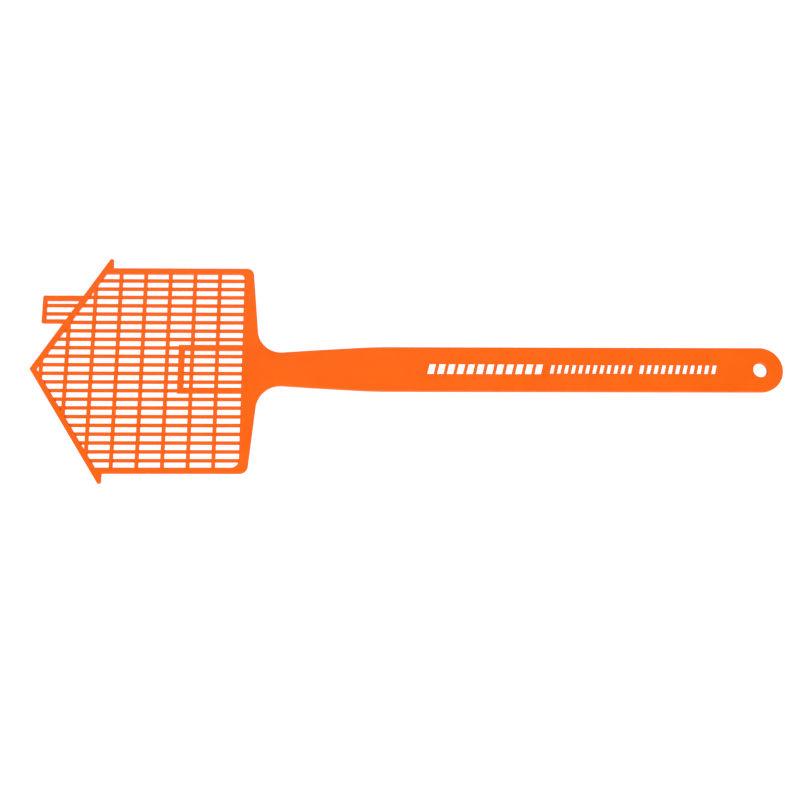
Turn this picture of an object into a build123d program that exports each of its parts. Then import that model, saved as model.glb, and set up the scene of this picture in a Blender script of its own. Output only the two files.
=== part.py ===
from build123d import *
import os
from math import atan2, sin

# A one-piece plastic fly swatter whose lattice head has the outline of a house.
# It lies on its flat back, on Z = 0.  +X runs from the head to the handle's round
# end, +Y points to the side with the chimney, and +Z out of the ribbed front.
# The origin is the middle of the hanging hole, on the back face.
# Each piece is a feature of the moulding, and meets its neighbours face to face.

# ---- driving dimensions, mm; an X here is measured from the roof's point ----

LENGTH = 406.4              # roof's point to the handle's round end
HANDLE_WIDTH = 24.5
HANDLE_THICK = 2.5
HANG_HOLE_RADIUS = 3.9      # in the middle of the round end
HOLE_RIM_ROUND = 0.5        # on the front rim of the hanging hole

FRAME_THICK = 1.8           # roof, walls, base plate and chimney
LATTICE_THICK = 1.6         # slats, ribs and door
SLAT_THICK = 0.9            # the slats are the back layer, the ribs lie in front of them
EDGE_ROUND = 0.5            # on the outer edges of the frame, neck and handle
WINDOW_ROUND = 0.3          # on the front edges of the frame's openings
BAR_ROUND = 0.3             # on the free edges of slats, ribs and door

ROOF_SLOPE = 0.645          # how far the roof's edge runs in X for each mm of Y
ROOF_RAIL = 3.0             # width square to the roof's edge
ROOF_POINT_ROUND = 0.7
EAVE_X = 41.7               # square end of the eaves
EAVE_TIP_ROUND = 1.1

WALL_HALF = 56.7            # middle of the head to the outside of each wall
WALL_RAIL = 3.3
WALL_END_X = 109.2          # where the walls end and the base plate's piece begins

BASE_INNER_X = 113.6        # lattice side of the base plate
BASE_OUTER_X = 123.65       # outer edge of the base plate, on the axis
BASE_SLOPE_UPPER = 0.093    # how far that outer edge falls back for each mm of Y ...
BASE_SLOPE_LOWER = 0.100    # ... and below the axis
BASE_CORNER_UPPER = 3.7
BASE_CORNER_LOWER = 4.4
WINDOW_CORNER_UPPER = 2.6
WINDOW_CORNER_LOWER = 4.2

FIRST_RIB_X = 6.0           # middle of the first rib
RIB_PITCH = 13.45
RIB_WIDTH = 2.1
RIB_COUNT = 8
SLAT_PITCH = 4.73
SLAT_WIDTH = 1.95
SLATS_PER_SIDE = 11

CHIMNEY_X = 4.6             # outside of the chimney's end bar
CHIMNEY_END_BAR = 2.2
CHIMNEY_LOW = 25.2
CHIMNEY_HIGH = 40.95
CHIMNEY_LOW_RAIL = 2.3
CHIMNEY_HIGH_RAIL = 2.9
CHIMNEY_CORNER = 0.9

DOOR_X = 79.35              # outside of the door's end bar
DOOR_END_BAR = 3.2
DOOR_SIDE_BAR = 3.2
DOOR_SLATS_PER_SIDE = 2     # the door's sides run where the next slat would be

NECK_X = 135.8              # narrowest place, before the fillets at the head
NECK_WIDTH = 18.7
NECK_FILLET = 13.0
SWELL_X = 151.0             # up to here the neck widens a little faster
SWELL_WIDTH = 20.75
NECK_START_X = 131.0        # the neck thickens from here ...
HANDLE_START_X = 196.0      # ... to here, where the handle begins
NECK_MIDDLE_LENGTH = 4.0    # halfway along the neck, between the two stretches that bend
TAPER_END_X = 184.5         # where the sides reach the handle's full width
TAPER_ROUND = 300.0

PRINT_THICK = 0.06
PRINT_SLANT = 0.25          # how far a printed mark leans in X for each mm of its height
# groups of printed marks: first mark's X from the hole, number, pitch, width, height
PRINT_GROUPS = [
    (-180.7, 12, 5.26, 3.40, 5.3),
    (-114.6, 12, 3.83, 1.80, 4.6),
    (-66.3, 11, 3.92, 1.95, 4.65),
]

# ---- values that follow from them ----

APEX = HANDLE_WIDTH / 2 - LENGTH
EAVE = APEX + EAVE_X
WALL_INNER = WALL_HALF - WALL_RAIL
WALL_END = APEX + WALL_END_X
BASE_INNER = APEX + BASE_INNER_X
BASE_OUTER = APEX + BASE_OUTER_X
NECK_START = APEX + NECK_START_X
HANDLE_START = APEX + HANDLE_START_X
NECK_MIDDLE = (NECK_START + HANDLE_START) / 2
SWELL = APEX + SWELL_X
TAPER_END = APEX + TAPER_END_X
DOOR_OUTER = APEX + DOOR_X
HANDLE_HALF = HANDLE_WIDTH / 2
SWELL_HALF = SWELL_WIDTH / 2
NECK_TAPER = (SWELL_WIDTH - NECK_WIDTH) / 2 / (SWELL_X - NECK_X)
ROOF_RAIL_X = ROOF_RAIL / sin(atan2(1, ROOF_SLOPE))     # the roof rail's width along X
REACH = 1000                # longer than the whole swatter, for cutting tools


def roof_x(y, inset=0.0):
    """X of the roof's outer edge at height y, or of a line moved that far along X."""
    return APEX + inset + ROOF_SLOPE * abs(y)


def base_slope(y):
    """The slope of the base plate's outer edge on the side that y is on."""
    return BASE_SLOPE_UPPER if y > 0 else BASE_SLOPE_LOWER


def base_x(y):
    """X of the base plate's outer edge at height y."""
    return BASE_OUTER - base_slope(y) * abs(y)


def slat_y(number):
    """Height of a slat's middle line: number 1 is the first one on either side of the axis."""
    return (number - 0.5) * SLAT_PITCH


def polygon(*points):
    """A flat shape with straight sides."""
    return Sketch() + make_face(Polyline(*points, close=True))


def rounded(shape, x, y, radius):
    """A flat shape with the corner at a point rounded."""
    return fillet(shape.vertices().sort_by_distance((x, y, 0))[0], radius)


def slab(x_low, x_high, y_low, y_high, z_low, z_high):
    """A block between two corners."""
    middle = ((x_low + x_high) / 2, (y_low + y_high) / 2, (z_low + z_high) / 2)
    return Pos(*middle) * Box(x_high - x_low, y_high - y_low, z_high - z_low)


def beyond(x):
    """Everything on the handle's side of a plane across the swatter."""
    return slab(x, x + REACH, -REACH, REACH, -REACH, REACH)


# ---- flat outlines ----

def house_outline():
    """The outside of the roof, eaves, walls and base plate."""
    tip = EAVE_X / ROOF_SLOPE
    upper = base_x(WALL_HALF)
    lower = base_x(-WALL_HALF)
    shape = polygon(
        (APEX, 0), (EAVE, tip), (EAVE, WALL_HALF), (upper, WALL_HALF), (BASE_OUTER, 0),
        (lower, -WALL_HALF), (EAVE, -WALL_HALF), (EAVE, -tip))
    shape = rounded(shape, EAVE, tip, EAVE_TIP_ROUND)
    shape = rounded(shape, EAVE, -tip, EAVE_TIP_ROUND)
    shape = rounded(shape, upper, WALL_HALF, BASE_CORNER_UPPER)
    shape = rounded(shape, lower, -WALL_HALF, BASE_CORNER_LOWER)
    return rounded(shape, APEX, 0, ROOF_POINT_ROUND)


def chimney_outline():
    """The chimney's outside, as far as the middle of the roof rail."""
    left = APEX + CHIMNEY_X
    inset = ROOF_RAIL_X / 2
    shape = polygon(
        (left, CHIMNEY_LOW), (left, CHIMNEY_HIGH),
        (roof_x(CHIMNEY_HIGH, inset), CHIMNEY_HIGH), (roof_x(CHIMNEY_LOW, inset), CHIMNEY_LOW))
    shape = rounded(shape, left, CHIMNEY_LOW, CHIMNEY_CORNER)
    return rounded(shape, left, CHIMNEY_HIGH, CHIMNEY_CORNER)


def stem_outline():
    """Neck and handle, from inside the base plate to the round end."""
    root = (BASE_INNER + BASE_OUTER) / 2
    root_half = SWELL_HALF - NECK_TAPER * (SWELL - root)
    shape = polygon(
        (root, root_half), (SWELL, SWELL_HALF), (TAPER_END, HANDLE_HALF), (0, HANDLE_HALF),
        (0, -HANDLE_HALF), (TAPER_END, -HANDLE_HALF), (SWELL, -SWELL_HALF), (root, -root_half))
    for side in (1, -1):
        shape = rounded(shape, SWELL, side * SWELL_HALF, TAPER_ROUND)
        shape = rounded(shape, TAPER_END, side * HANDLE_HALF, TAPER_ROUND)
    return shape + Circle(HANDLE_HALF)


def neck_corner(side):
    """Where the neck's side would meet the base plate's outer edge, with no fillet."""
    slope = base_slope(side)
    half_at_point = NECK_WIDTH / 2 - NECK_TAPER * NECK_X
    x = (BASE_OUTER_X - slope * half_at_point) / (1 + slope * NECK_TAPER)
    return APEX + x, side * (half_at_point + NECK_TAPER * x)


def whole_outline():
    """The outside of the whole swatter in one flat shape, with the fillets at the neck."""
    shape = house_outline() + chimney_outline() + stem_outline()
    shape = rounded(shape, *neck_corner(1), NECK_FILLET)
    return rounded(shape, *neck_corner(-1), NECK_FILLET)


def lattice_window():
    """The opening inside the house frame that the lattice fills."""
    top = roof_x(WALL_INNER, ROOF_RAIL_X)
    shape = polygon(
        (APEX + ROOF_RAIL_X, 0), (top, WALL_INNER), (BASE_INNER, WALL_INNER),
        (BASE_INNER, -WALL_INNER), (top, -WALL_INNER))
    shape = rounded(shape, BASE_INNER, WALL_INNER, WINDOW_CORNER_UPPER)
    return rounded(shape, BASE_INNER, -WALL_INNER, WINDOW_CORNER_LOWER)


def chimney_window():
    """The opening inside the chimney, up to the roof's outer edge."""
    left = APEX + CHIMNEY_X + CHIMNEY_END_BAR
    low = CHIMNEY_LOW + CHIMNEY_LOW_RAIL
    high = CHIMNEY_HIGH - CHIMNEY_HIGH_RAIL
    return polygon((left, low), (left, high), (roof_x(high), high), (roof_x(low), low))


# ---- head frame ----

def head_frame():
    """Roof, walls, base plate and chimney in one solid, cut off where the neck starts."""
    plate = extrude(whole_outline() - lattice_window() - chimney_window(), FRAME_THICK)
    faces = plate.faces().filter_by(Axis.Z).sort_by(Axis.Z)
    openings = ShapeList(edge for wire in faces[-1].inner_wires() for edge in wire.edges())
    plate = fillet(openings, WINDOW_ROUND)
    faces = plate.faces().filter_by(Axis.Z).sort_by(Axis.Z)
    edges = faces[0].outer_wire().edges() + faces[-1].outer_wire().edges()
    return fillet(edges, EDGE_ROUND) - beyond(NECK_START)


def chimney_side():
    """Everything outside the roof's edge, on the chimney's side of the head."""
    top = CHIMNEY_HIGH + SLAT_PITCH
    shape = polygon((APEX, 0), (roof_x(top), top), (APEX - REACH, top), (APEX - REACH, 0))
    return extrude(shape, REACH, both=True)


def frame_pieces():
    """The head frame, split where one feature of the house ends and the next begins."""
    frame = head_frame()
    house = frame - chimney_side()
    pieces = {"chimney_frame": frame & chimney_side()}
    for name, low, high in (("upper", 0, REACH), ("lower", -REACH, 0)):
        half = house & slab(-REACH, REACH, low, high, -REACH, REACH)
        pieces["roof_rail_" + name] = half - beyond(EAVE)
        pieces["wall_rail_" + name] = (half & beyond(EAVE)) - beyond(WALL_END)
    pieces["base_plate"] = house & beyond(WALL_END)
    return pieces


# ---- lattice, chimney slats and door ----

def bar(x_low, x_high, y_low, y_high, z_low, z_high, along, free_face):
    """A straight bar with the two long edges of its back (0) or front (-1) face rounded."""
    block = slab(x_low, x_high, y_low, y_high, z_low, z_high)
    return fillet(block.edges().filter_by(along).group_by(Axis.Z)[free_face], BAR_ROUND)


def slat(y, x_low, x_high):
    """One slat, in the back layer of the lattice."""
    return bar(x_low, x_high, y - SLAT_WIDTH / 2, y + SLAT_WIDTH / 2, 0, SLAT_THICK, Axis.X, 0)


def rib(x, y_low, y_high):
    """One rib, in the front layer of the lattice."""
    half = RIB_WIDTH / 2
    return bar(x - half, x + half, y_low, y_high, SLAT_THICK, LATTICE_THICK, Axis.Y, -1)


def lattice_pieces():
    """Slats and ribs, cut to the window, and the shorter ones that stop at the door."""
    window = extrude(lattice_window(), LATTICE_THICK)
    door_side = slat_y(DOOR_SLATS_PER_SIDE + 1)
    outside_door = door_side + DOOR_SIDE_BAR / 2
    inside_door = door_side - DOOR_SIDE_BAR / 2
    door_inner = DOOR_OUTER + DOOR_END_BAR
    pieces = {}

    heights = [slat_y(number) for number in range(SLATS_PER_SIDE, -SLATS_PER_SIDE, -1)]
    for number, y in enumerate(heights, 1):
        end = DOOR_OUTER if abs(y) < outside_door else BASE_OUTER
        pieces[f"slat_{number:02d}"] = slat(y, APEX, end) & window
    door_heights = [y for y in heights if abs(y) < inside_door]
    for number, y in enumerate(door_heights, 1):
        pieces[f"door_slat_{number}"] = slat(y, door_inner, BASE_INNER)

    for number in range(1, RIB_COUNT + 1):
        x = APEX + FIRST_RIB_X + (number - 1) * RIB_PITCH
        if x < DOOR_OUTER:
            pieces[f"rib_{number}"] = rib(x, -WALL_HALF, WALL_HALF) & window
            continue
        pieces[f"rib_{number}_upper"] = rib(x, outside_door, WALL_INNER)
        pieces[f"rib_{number}_door"] = rib(x, -inside_door, inside_door)
        pieces[f"rib_{number}_lower"] = rib(x, -WALL_INNER, -outside_door)
    return pieces


def chimney_slats():
    """The slats inside the chimney, in line with those of the lattice."""
    window = extrude(chimney_window(), LATTICE_THICK)
    heights = [slat_y(number) for number in range(SLATS_PER_SIDE, 0, -1)]
    inside = [y for y in heights if CHIMNEY_LOW + SLAT_PITCH < y < CHIMNEY_HIGH - SLAT_PITCH]
    return {
        f"chimney_slat_{number}": slat(y, APEX, EAVE) & window
        for number, y in enumerate(inside, 1)
    }


def door_frame():
    """The door's end bar and its two sides, which run into the base plate."""
    middle = slat_y(DOOR_SLATS_PER_SIDE + 1)
    outer = middle + DOOR_SIDE_BAR / 2
    inner = middle - DOOR_SIDE_BAR / 2
    block = slab(DOOR_OUTER, BASE_INNER, -outer, outer, 0, LATTICE_THICK)
    opening = slab(DOOR_OUTER + DOOR_END_BAR, REACH, -inner, inner, -REACH, REACH)
    solid = block - opening
    front = solid.edges().group_by(Axis.Z)[-1]
    return fillet([edge for edge in front if edge.center().X < BASE_INNER - BAR_ROUND], BAR_ROUND)


# ---- neck, handle and print ----

def stem():
    """Neck and handle in one solid: the front rises along the neck in a smooth curve."""
    start = BASE_OUTER
    outline = whole_outline() & Pos(start + REACH / 2, 0) * Rectangle(REACH, REACH)
    front = [
        Line((start, FRAME_THICK), (NECK_START, FRAME_THICK)),
        Spline((NECK_START, FRAME_THICK), (HANDLE_START, HANDLE_THICK), tangents=[(1, 0), (1, 0)]),
        Polyline((HANDLE_START, HANDLE_THICK), (REACH, HANDLE_THICK), (REACH, 0), (start, 0),
                 (start, FRAME_THICK)),
    ]
    side_view = extrude(Plane.XZ * make_face(front), REACH, both=True)
    solid = extrude(outline, HANDLE_THICK) & side_view
    rim = solid.edges().filter_by(Axis.Z, reverse=True).filter_by(Axis.Y, reverse=True)
    return fillet(rim, EDGE_ROUND) & beyond(NECK_START)


def stem_pieces():
    """The neck in three stretches, and the handle with its hanging hole."""
    solid = stem()
    middle_start = NECK_MIDDLE - NECK_MIDDLE_LENGTH / 2
    middle_end = NECK_MIDDLE + NECK_MIDDLE_LENGTH / 2
    handle = (solid & beyond(HANDLE_START)) - extrude(Circle(HANG_HOLE_RADIUS), REACH, both=True)
    rim = handle.edges().filter_by(GeomType.CIRCLE).sort_by_distance((0, 0, HANDLE_THICK))[0]
    return {
        "neck_head_side": solid - beyond(middle_start),
        "neck_middle": (solid & beyond(middle_start)) - beyond(middle_end),
        "neck_handle_side": (solid & beyond(middle_end)) - beyond(HANDLE_START),
        "handle": fillet(rim, HOLE_RIM_ROUND),
    }


def printed_mark(x, width, height):
    """One slanted mark of ink on the front of the handle."""
    lean = PRINT_SLANT * height
    shape = polygon(
        (x, -height / 2), (x + width, -height / 2), (x + width + lean, height / 2), (x + lean, height / 2))
    return extrude(Pos(0, 0, HANDLE_THICK) * shape, PRINT_THICK)


def handle_print():
    """Three groups of marks along the handle."""
    marks = [
        printed_mark(start + number * pitch, width, height)
        for start, count, pitch, width, height in PRINT_GROUPS
        for number in range(count)
    ]
    return Compound(children=marks)


def main():
    pieces = frame_pieces() | lattice_pieces() | chimney_slats() | stem_pieces()
    pieces["door_frame"] = door_frame()
    pieces["handle_print"] = handle_print()
    os.makedirs("parts", exist_ok=True)
    for name, piece in pieces.items():
        export_step(piece, f"parts/{name}.step")


main()
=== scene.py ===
from math import cos, radians, sin

import bmesh
import bpy
import numpy as np
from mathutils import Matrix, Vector


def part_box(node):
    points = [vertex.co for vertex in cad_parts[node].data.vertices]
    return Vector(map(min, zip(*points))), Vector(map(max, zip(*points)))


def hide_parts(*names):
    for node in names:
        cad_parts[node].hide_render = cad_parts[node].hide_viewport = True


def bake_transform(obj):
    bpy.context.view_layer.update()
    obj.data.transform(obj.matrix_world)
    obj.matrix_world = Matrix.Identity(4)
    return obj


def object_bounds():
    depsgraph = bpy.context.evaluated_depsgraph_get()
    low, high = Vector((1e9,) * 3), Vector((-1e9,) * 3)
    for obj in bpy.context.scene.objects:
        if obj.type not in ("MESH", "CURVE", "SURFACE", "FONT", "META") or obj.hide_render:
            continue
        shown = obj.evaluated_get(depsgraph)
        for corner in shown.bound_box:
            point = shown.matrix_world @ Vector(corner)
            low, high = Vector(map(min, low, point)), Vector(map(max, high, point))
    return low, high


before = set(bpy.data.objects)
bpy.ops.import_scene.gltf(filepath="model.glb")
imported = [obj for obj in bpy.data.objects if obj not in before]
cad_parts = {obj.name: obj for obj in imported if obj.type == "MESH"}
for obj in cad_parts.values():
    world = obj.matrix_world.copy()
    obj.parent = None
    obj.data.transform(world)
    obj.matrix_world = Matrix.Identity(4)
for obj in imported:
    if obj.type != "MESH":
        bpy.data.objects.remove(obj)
cad_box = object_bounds()
middle = (cad_box[0] + cad_box[1]) / 2

# A one-piece orange plastic fly swatter with white ink on its handle, over a white studio floor.
# Everything is in metres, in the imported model's frame: +X from the head to the handle's end,
# +Y to the side with the chimney, +Z out of the front.

MM = 0.001
WHITE = (1.0, 1.0, 1.0, 1.0)                  # colours are linear, here and below

# ---- camera and lights ----
LENS = 45.0                                   # on the 36 mm sensor that Blender starts with
CAMERA_FROM_MIDDLE = (-0.0131, -0.1255)       # from the middle of the swatter, in X and Y
CAMERA_HEIGHT = 0.5262                        # above the swatter's flat back
CAMERA_TILT = 11.70                           # degrees: leans towards +Y ...
CAMERA_SWING = 0.94                           # ... and a little towards +X ...
CAMERA_ROLL = 0.08                            # ... and turns about its own line of sight

SKY_LOW = 0.98                                # the white of the studio walls all round
SKY_HIGH = 0.08                               # the dim ceiling, so that nothing glares from above
SKY_BLEND = (0.12, 0.35)                      # how steeply up, as a sine, the one becomes the other
# softboxes: name, place from the middle of the swatter, side in metres, watts
SOFTBOXES = [
    ("softbox_near", (0.25, -1.70, 2.00), 2.2, 94.0),
    ("softbox_far", (-0.30, 1.90, 1.60), 2.0, 32.0),
]

# ---- floor ----
FLOOR_SIZE = 60.0
FLOOR_DROP = 0.095                            # below the swatter: its head flexes 82 mm down
FLOOR_WHITE = (0.250, 0.250, 0.250)
FLOOR_ROUGHNESS = 0.9
# the floor is a light table: its own light under the swatter, and far out, where the walls are
FLOOR_GLOW = (0.82, 0.96)
FLOOR_GLOW_REACH = (0.7, 3.0)                 # in metres from the middle of the floor

# ---- plastic ----
# a pattern is noise: PER_METRE is how many features it has to the metre, and RANGE is the
# range of its values that is used
ORANGE = (0.800, 0.108, 0.0010)
ORANGE_LIGHT = (0.830, 0.120, 0.0020)
ORANGE_DEEP = (0.770, 0.098, 0.0005)
CLOUDS_PER_METRE = 45
CLOUDS_RANGE = (0.3, 0.7)
FLOW_MARKS_PER_METRE = 90
FLOW_MARKS_RANGE = (0.35, 0.65)
FLOW_MARKS_STRETCH = (0.12, 1, 1)             # they run along the swatter
GLOSS_PATCHES_PER_METRE = 120
GLOSS_PATCHES_RANGE = (0.25, 0.75)
PLASTIC_ROUGHNESS = (0.34, 0.44)              # from the glossiest patch to the dullest
PLASTIC_SPECULAR = 0.22
WAVES_PER_METRE = 28                          # the slight unevenness of the surface
WAVE_DEPTH = 0.5 * MM
WAVE_STRENGTH = 0.25
GRAIN_PER_METRE = 2600                        # the spark-eroded grain
GRAIN_DEPTH = 0.04 * MM
GRAIN_STRENGTH = 0.50

# ---- ink ----
INK_WHITE = (0.900, 0.895, 0.880)
INK_THIN = (0.900, 0.720, 0.620)
THIN_SPOTS_PER_METRE = 900
THIN_SPOTS_RANGE = (0.62, 0.80)               # only the peaks, so most of the ink is thick
SHEEN_PATCHES_PER_METRE = 400
SHEEN_PATCHES_RANGE = (0.3, 0.7)
INK_ROUGHNESS = (0.42, 0.58)
INK_SPECULAR = 0.3
INK_GRAIN_PER_METRE = 1500
INK_GRAIN_DEPTH = 0.02 * MM
INK_GRAIN_STRENGTH = 0.3

# ---- the neck's meshes ----
# the two stretches of the neck that bend: CAD node, body on its head side, body on its handle side
BENDING_STRETCHES = [
    ("neck_head_side", "head", "neck"),
    ("neck_handle_side", "neck", "handle"),
]
NECK_STATION = 1.0 * MM                       # along X, from one ring of points to the next
HAIR = 0.001 * MM                             # a CAD node is cut at least this far inside its ends
EDGE_ROUND = 0.5 * MM
EDGE_ROUND_STEPS = 5                          # faces round each of the strip's four edges
FLAT_STEPS = 14                               # faces across its front, and across its back
SHARP_ANGLE = 40.0                            # degrees: a sharper edge isn't shaded smooth

# a Mix node's sockets when it mixes colours
MIX_FACTOR = 0
MIX_COLOURS = (6, 7)
MIX_RESULT = 2


# ---- material helpers ----

def new_material(name):
    """A material, its node tree and its Principled shader."""
    material = bpy.data.materials.new(name)
    material.use_nodes = True
    return material, material.node_tree, material.node_tree.nodes["Principled BSDF"]


def add(tree, kind, settings=None, **inputs):
    """A node with its settings, and its inputs set to values or linked to sockets."""
    node = tree.nodes.new(kind)
    for key, value in (settings or {}).items():
        setattr(node, key, value)
    for key, value in inputs.items():
        socket = node.inputs[key.replace("_", " ")]
        if isinstance(value, bpy.types.NodeSocket):
            tree.links.new(value, socket)
        else:
            socket.default_value = value
    return node


def noise(tree, per_metre, detail=2.0, roughness=0.5, stretch=(1, 1, 1)):
    """Noise from 0 to 1 in the object's own space, with that many features to the metre."""
    point = add(tree, "ShaderNodeTexCoord").outputs["Object"]
    stretched = add(tree, "ShaderNodeMapping", Vector=point, Scale=stretch).outputs["Vector"]
    return add(
        tree, "ShaderNodeTexNoise", Vector=stretched, Scale=per_metre, Detail=detail,
        Roughness=roughness).outputs["Fac"]


def spread(tree, value, low, high, to_low=0.0, to_high=1.0):
    """The value's stretch from low to high, moved to another range."""
    return add(
        tree, "ShaderNodeMapRange", Value=value, From_Min=low, From_Max=high, To_Min=to_low,
        To_Max=to_high).outputs["Result"]


def mixed(tree, factor, first, second):
    """Two colours mixed, each a socket or a plain colour."""
    node = add(tree, "ShaderNodeMix", {"data_type": "RGBA"})
    tree.links.new(factor, node.inputs[MIX_FACTOR])
    for number, colour in zip(MIX_COLOURS, (first, second)):
        if isinstance(colour, bpy.types.NodeSocket):
            tree.links.new(colour, node.inputs[number])
        else:
            node.inputs[number].default_value = (*colour, 1.0)
    return node.outputs[MIX_RESULT]


def bumped(tree, layers):
    """A normal from several layers of bump: each is height, depth in metres and strength."""
    normal = None
    for height, depth, strength in layers:
        node = add(tree, "ShaderNodeBump", Height=height, Distance=depth, Strength=strength)
        if normal is not None:
            tree.links.new(normal, node.inputs["Normal"])
        normal = node.outputs["Normal"]
    return normal


# ---- materials ----

def moulded_plastic():
    """Orange polypropylene: faint flow marks from the mould, a fine spark-eroded grain, soft gloss."""
    material, tree, shader = new_material("moulded_polypropylene")
    clouds = spread(tree, noise(tree, CLOUDS_PER_METRE, detail=3), *CLOUDS_RANGE)
    flow_marks = noise(tree, FLOW_MARKS_PER_METRE, stretch=FLOW_MARKS_STRETCH)
    flow = spread(tree, flow_marks, *FLOW_MARKS_RANGE)
    base = mixed(tree, clouds, ORANGE_DEEP, ORANGE_LIGHT)
    tree.links.new(mixed(tree, flow, base, ORANGE), shader.inputs["Base Color"])
    patches = noise(tree, GLOSS_PATCHES_PER_METRE, detail=4)
    roughness = spread(tree, patches, *GLOSS_PATCHES_RANGE, *PLASTIC_ROUGHNESS)
    tree.links.new(roughness, shader.inputs["Roughness"])
    waves = noise(tree, WAVES_PER_METRE, detail=1)
    grain = noise(tree, GRAIN_PER_METRE, roughness=0.6)
    normal = bumped(tree, [
        (waves, WAVE_DEPTH, WAVE_STRENGTH),
        (grain, GRAIN_DEPTH, GRAIN_STRENGTH),
    ])
    tree.links.new(normal, shader.inputs["Normal"])
    shader.inputs["Specular IOR Level"].default_value = PLASTIC_SPECULAR
    return material


def printed_ink():
    """White pad-printed ink: a little thin in places, with a soft sheen of its own."""
    material, tree, shader = new_material("printed_ink")
    spots = noise(tree, THIN_SPOTS_PER_METRE, detail=4, roughness=0.65)
    thin = spread(tree, spots, *THIN_SPOTS_RANGE)
    tree.links.new(mixed(tree, thin, INK_WHITE, INK_THIN), shader.inputs["Base Color"])
    patches = noise(tree, SHEEN_PATCHES_PER_METRE, detail=3)
    roughness = spread(tree, patches, *SHEEN_PATCHES_RANGE, *INK_ROUGHNESS)
    tree.links.new(roughness, shader.inputs["Roughness"])
    grain = noise(tree, INK_GRAIN_PER_METRE, detail=3)
    normal = bumped(tree, [(grain, INK_GRAIN_DEPTH, INK_GRAIN_STRENGTH)])
    tree.links.new(normal, shader.inputs["Normal"])
    shader.inputs["Specular IOR Level"].default_value = INK_SPECULAR
    return material


def lit_floor():
    """Plain white plastic sheet, lit from below, without gloss."""
    material, tree, shader = new_material("light_table")
    shader.inputs["Base Color"].default_value = (*FLOOR_WHITE, 1.0)
    shader.inputs["Roughness"].default_value = FLOOR_ROUGHNESS
    shader.inputs["Specular IOR Level"].default_value = 0.0
    shader.inputs["Emission Color"].default_value = WHITE
    point = add(tree, "ShaderNodeTexCoord").outputs["Object"]
    distance = add(tree, "ShaderNodeVectorMath", {"operation": "LENGTH"}, Vector=point)
    glow = spread(tree, distance.outputs["Value"], *FLOOR_GLOW_REACH, *FLOOR_GLOW)
    tree.links.new(glow, shader.inputs["Emission Strength"])
    return material


# ---- the neck ----

def cross_section(points, edges, x):
    """Half the width and the height of a CAD node where a plane across the swatter cuts it."""
    first, second = points[edges[:, 0]], points[edges[:, 1]]
    crossing = (first[:, 0] - x) * (second[:, 0] - x) < 0
    first, second = first[crossing], second[crossing]
    share = (x - first[:, 0]) / (second[:, 0] - first[:, 0])
    cut = first + share[:, None] * (second - first)
    return abs(cut[:, 1]).max(), cut[:, 2].max()


def rounded_edge(y, z, start):
    """The points of a quarter round about a middle at y, z, from a start in degrees."""
    angles = [radians(start + 90 * step / EDGE_ROUND_STEPS) for step in range(EDGE_ROUND_STEPS + 1)]
    return [(y + EDGE_ROUND * cos(angle), z + EDGE_ROUND * sin(angle)) for angle in angles]


def flat_face(start, z):
    """The points of a flat face across the strip, from one side to the other, without its ends."""
    return [(start * (1 - 2 * step / FLAT_STEPS), z) for step in range(1, FLAT_STEPS)]


def strip_outline(half_width, height):
    """The outline of a flat strip with rounded edges, anticlockwise seen from the handle."""
    inner = half_width - EDGE_ROUND
    top = height - EDGE_ROUND
    right = rounded_edge(inner, EDGE_ROUND, -90) + rounded_edge(inner, top, 0)
    left = rounded_edge(-inner, top, 90) + rounded_edge(-inner, EDGE_ROUND, 180)
    return right + flat_face(inner, height) + left + flat_face(-inner, 0.0)


def rings_along(node):
    """The outlines of a CAD node of the neck, evenly spaced from its head side to its handle side."""
    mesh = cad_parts[node].data
    points = np.array([vertex.co for vertex in mesh.vertices])
    edges = np.array([edge.vertices for edge in mesh.edges])
    low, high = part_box(node)
    count = round((high.x - low.x) / NECK_STATION)
    rings = []
    for number in range(count + 1):
        x = low.x + (high.x - low.x) * number / count
        half_width, height = cross_section(points, edges, min(max(x, low.x + HAIR), high.x - HAIR))
        rings.append([(x, y, z) for y, z in strip_outline(half_width, height)])
    return rings


def skinned(name, rings):
    """A closed mesh over the rings, shaded smooth but for the edges of its two ends."""
    work = bmesh.new()
    rings = [[work.verts.new(point) for point in ring] for ring in rings]
    size = len(rings[0])
    for near, far in zip(rings, rings[1:]):
        for this in range(size):
            following = (this + 1) % size
            work.faces.new((near[this], near[following], far[following], far[this]))
    work.faces.new(list(reversed(rings[0])))
    work.faces.new(rings[-1])
    bmesh.ops.recalc_face_normals(work, faces=work.faces)
    mesh = bpy.data.meshes.new(name)
    work.to_mesh(mesh)
    work.free()
    mesh.shade_smooth()
    mesh.set_sharp_from_angle(angle=radians(SHARP_ANGLE))
    return mesh


def make_bending_stretch(node, head_side, handle_side, material):
    """One stretch of the neck as a smooth strip of closely spaced rings, in place of its CAD node."""
    name = node + "_moulding"
    stretch = bpy.data.objects.new(name, skinned(name, rings_along(node)))
    stretch.data.materials.append(material)
    bpy.context.scene.collection.objects.link(stretch)
    stretch.modifiers.new("even_shading", "WEIGHTED_NORMAL").keep_sharp = True
    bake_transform(stretch)
    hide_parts(node)


# ---- studio ----

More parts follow.
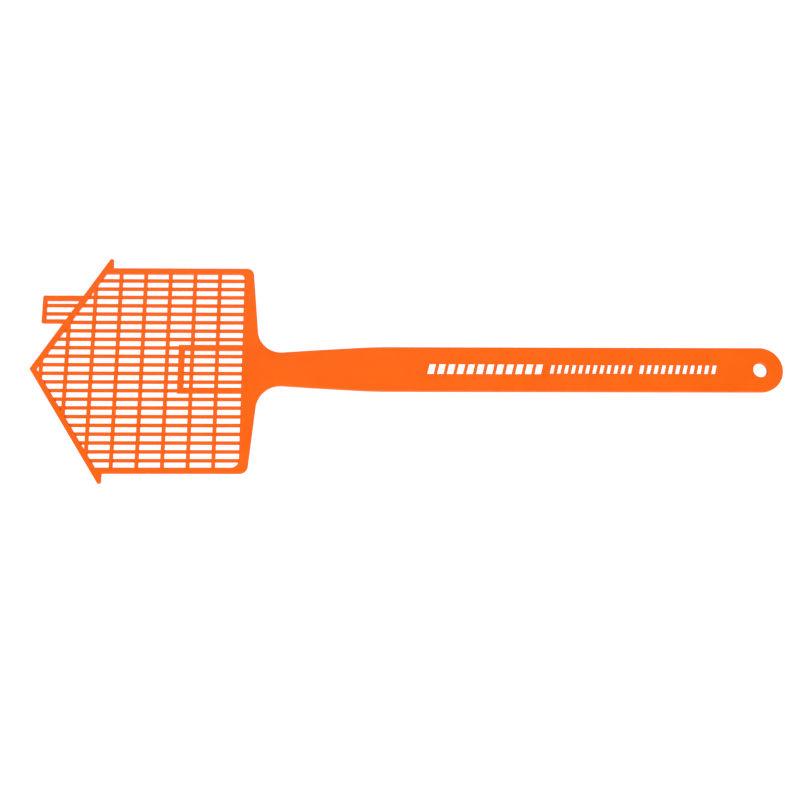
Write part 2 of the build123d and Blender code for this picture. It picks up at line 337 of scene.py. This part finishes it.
def make_floor(material):
    """A large plain floor under the swatter."""
    bpy.ops.mesh.primitive_plane_add(size=FLOOR_SIZE, location=(*middle.xy, -FLOOR_DROP))
    floor = bpy.context.object
    floor.name = "studio_floor"
    floor.data.materials.append(material)


def make_softbox(name, offset, side, watts):
    """A square softbox that faces the middle of the swatter."""
    light = bpy.data.lights.new(name, "AREA")
    light.shape = "SQUARE"
    light.size = side
    light.energy = watts
    softbox = bpy.data.objects.new(name, light)
    bpy.context.scene.collection.objects.link(softbox)
    softbox.location = middle + Vector(offset)
    softbox.rotation_euler = (-Vector(offset)).to_track_quat("-Z", "Y").to_euler()


def make_world():
    """Pale walls all round, and a dimmer ceiling."""
    world = bpy.data.worlds.new("studio")
    world.use_nodes = True
    tree = world.node_tree
    direction = add(tree, "ShaderNodeTexCoord").outputs["Generated"]
    up = add(tree, "ShaderNodeSeparateXYZ", Vector=direction).outputs["Z"]
    grey = spread(tree, up, *SKY_BLEND, SKY_LOW, SKY_HIGH)
    tree.links.new(grey, tree.nodes["Background"].inputs["Strength"])
    tree.nodes["Background"].inputs["Color"].default_value = WHITE
    bpy.context.scene.world = world


def make_camera():
    """Almost straight above the swatter, a little towards the side away from the chimney."""
    camera = bpy.data.objects.new("camera", bpy.data.cameras.new("camera"))
    bpy.context.scene.collection.objects.link(camera)
    camera.data.lens = LENS
    camera.location = (
        middle.x + CAMERA_FROM_MIDDLE[0], middle.y + CAMERA_FROM_MIDDLE[1], CAMERA_HEIGHT)
    camera.rotation_mode = "ZXY"
    camera.rotation_euler = (radians(CAMERA_TILT), radians(-CAMERA_SWING), radians(-CAMERA_ROLL))
    bpy.context.scene.camera = camera


# ---- put it together ----

plastic = moulded_plastic()
ink = printed_ink()

for name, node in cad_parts.items():
    node.data.materials.clear()
    node.data.materials.append(ink if name == "handle_print" else plastic)

for stretch in BENDING_STRETCHES:
    make_bending_stretch(*stretch, plastic)
make_floor(lit_floor())
make_world()
for softbox in SOFTBOXES:
    make_softbox(*softbox)
make_camera()
bpy.context.scene.view_settings.view_transform = "Standard"
